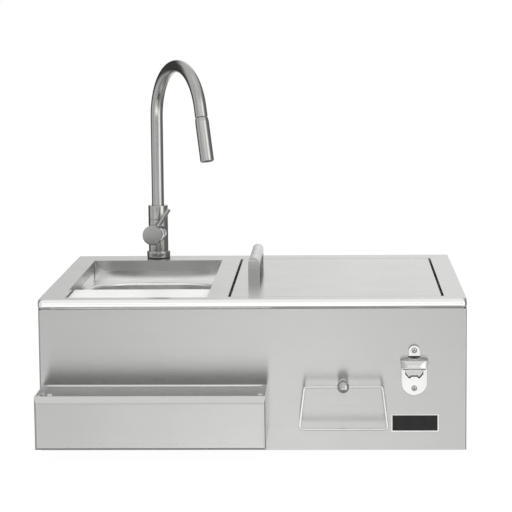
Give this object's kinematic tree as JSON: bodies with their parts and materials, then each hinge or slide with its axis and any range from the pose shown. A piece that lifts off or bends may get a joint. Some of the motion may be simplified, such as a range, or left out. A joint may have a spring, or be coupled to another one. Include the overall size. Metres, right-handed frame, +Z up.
{
  "type": "refreshment center",
  "caption": "Outdoor bar unit of brushed steel with a deep sink, pull-down faucet, insulated ice chest under a flush lid, bottle rail, towel ring and bottle opener.",
  "frame": {"origin": "centre of the underside, where the unit rests", "axes": "+X to the right along the front, +Y to the back, +Z up"},
  "size_m": [0.762, 0.72, 0.682],
  "materials": {
    "brushed_sheet": "fine grained brushing",
    "mill_sheet": "plain mill finish",
    "drawn_bowl": "satin",
    "bright_steel": "polished",
    "chrome": "polished",
    "cast_chrome": "plated casting",
    "white_board": "matt white",
    "black_rubber": "matt",
    "foam": "rigid foam",
    "brass": "machined",
    "nylon": "matt grey",
    "dark_nylon": "matt black"
  },
  "bodies": {
    "housing": {"deck": "brushed_sheet", "housing_wrap": "brushed_sheet", "rear_panel": "mill_sheet", "rear_screws": "bright_steel", "bottom_pan": "mill_sheet", "divider_panel": "mill_sheet", "sink_collar": "brushed_sheet", "sink_bowl": "drawn_bowl", "board_brackets": "brushed_sheet", "drain_flange": "bright_steel", "drain_gasket": "black_rubber", "drain_locknut": "brass", "tail_nut": "brass", "drain_tailpiece": "bright_steel", "chest_collar": "brushed_sheet", "chest_liner": "drawn_bowl", "chest_insulation": "foam", "chest_drain": "bright_steel", "chest_drain_nut": "brass", "lid_hinge_pins": "bright_steel", "faucet_base_seal": "black_rubber", "faucet_base_ring": "chrome", "faucet_body": "chrome", "faucet_shank": "brass", "faucet_washer": "mill_sheet", "faucet_nut": "brass", "valve_cartridge": "nylon", "rail_tray": "brushed_sheet", "rail_screws": "bright_steel", "towel_post": "bright_steel", "towel_post_nut": "mill_sheet", "opener_body": "cast_chrome", "opener_screws": "bright_steel"},
    "lid": {"lid_bushes": "nylon", "lid_skin": "brushed_sheet", "lid_core": "foam", "lid_pan": "drawn_bowl", "lid_gasket": "black_rubber", "lid_handle": "bright_steel", "lid_handle_screws": "mill_sheet"},
    "board": {"cutting_board": "white_board"},
    "strainer": {"strainer_basket": "bright_steel", "basket_stopper": "black_rubber"},
    "plug": {"chest_plug": "black_rubber"},
    "mix_stem": {"mix_dome": "chrome", "tilt_pin": "bright_steel"},
    "lever": {"lever_cap": "chrome", "lever_rod": "chrome"},
    "spout": {"swivel_sleeve": "chrome", "gooseneck": "chrome", "dock_ring": "nylon"},
    "spray": {"spray_shell": "chrome", "spray_face": "dark_nylon", "spray_spigot": "nylon", "spray_hose": "nylon"},
    "towel_ring": {"towel_ring": "bright_steel"}
  },
  "joints": [
    {"name": "lid_hinge", "type": "hinge", "parent": "housing", "child": "lid", "pos_m": [0.33, -0.012, 0.266], "axis": [0, 1, 0], "range_deg": [0, 95]},
    {"name": "board_lift", "type": "slide", "parent": "housing", "child": "board", "axis": [0, 0, 1], "range_m": [0, 0.12]},
    {"name": "strainer_lift", "type": "slide", "parent": "housing", "child": "strainer", "axis": [0, 0, 1], "range_m": [0, 0.12]},
    {"name": "plug_pull", "type": "slide", "parent": "housing", "child": "plug", "axis": [0, 0, 1], "range_m": [0, 0.1]},
    {"name": "lever_mix", "type": "hinge", "parent": "housing", "child": "mix_stem", "pos_m": [-0.21809, 0.24034, 0.327], "axis": [-0.134, -0.991, 0], "range_deg": [-30, 60]},
    {"name": "lever_tilt", "type": "hinge", "parent": "mix_stem", "child": "lever", "pos_m": [-0.21809, 0.24034, 0.327], "axis": [0.8404, -0.1136, -0.5299], "range_deg": [0, 20]},
    {"name": "spout_swivel", "type": "hinge", "parent": "housing", "child": "spout", "pos_m": [-0.213, 0.278, 0.354], "axis": [0, 0, 1], "range_deg": [-118.7, 61.3]},
    {"name": "spray_pull", "type": "slide", "parent": "spout", "child": "spray", "axis": [0.1324, -0.2418, -0.9613], "range_m": [0, 0.15], "stiffness_N_per_m": 30, "springref_m": -0.12, "deforming": ["spray_hose"]},
    {"name": "towel_ring_swing", "type": "hinge", "parent": "housing", "child": "towel_ring", "pos_m": [0.162, -0.341, 0.122], "axis": [-1, 0, 0], "range_deg": [-28, 150]}
  ]
}
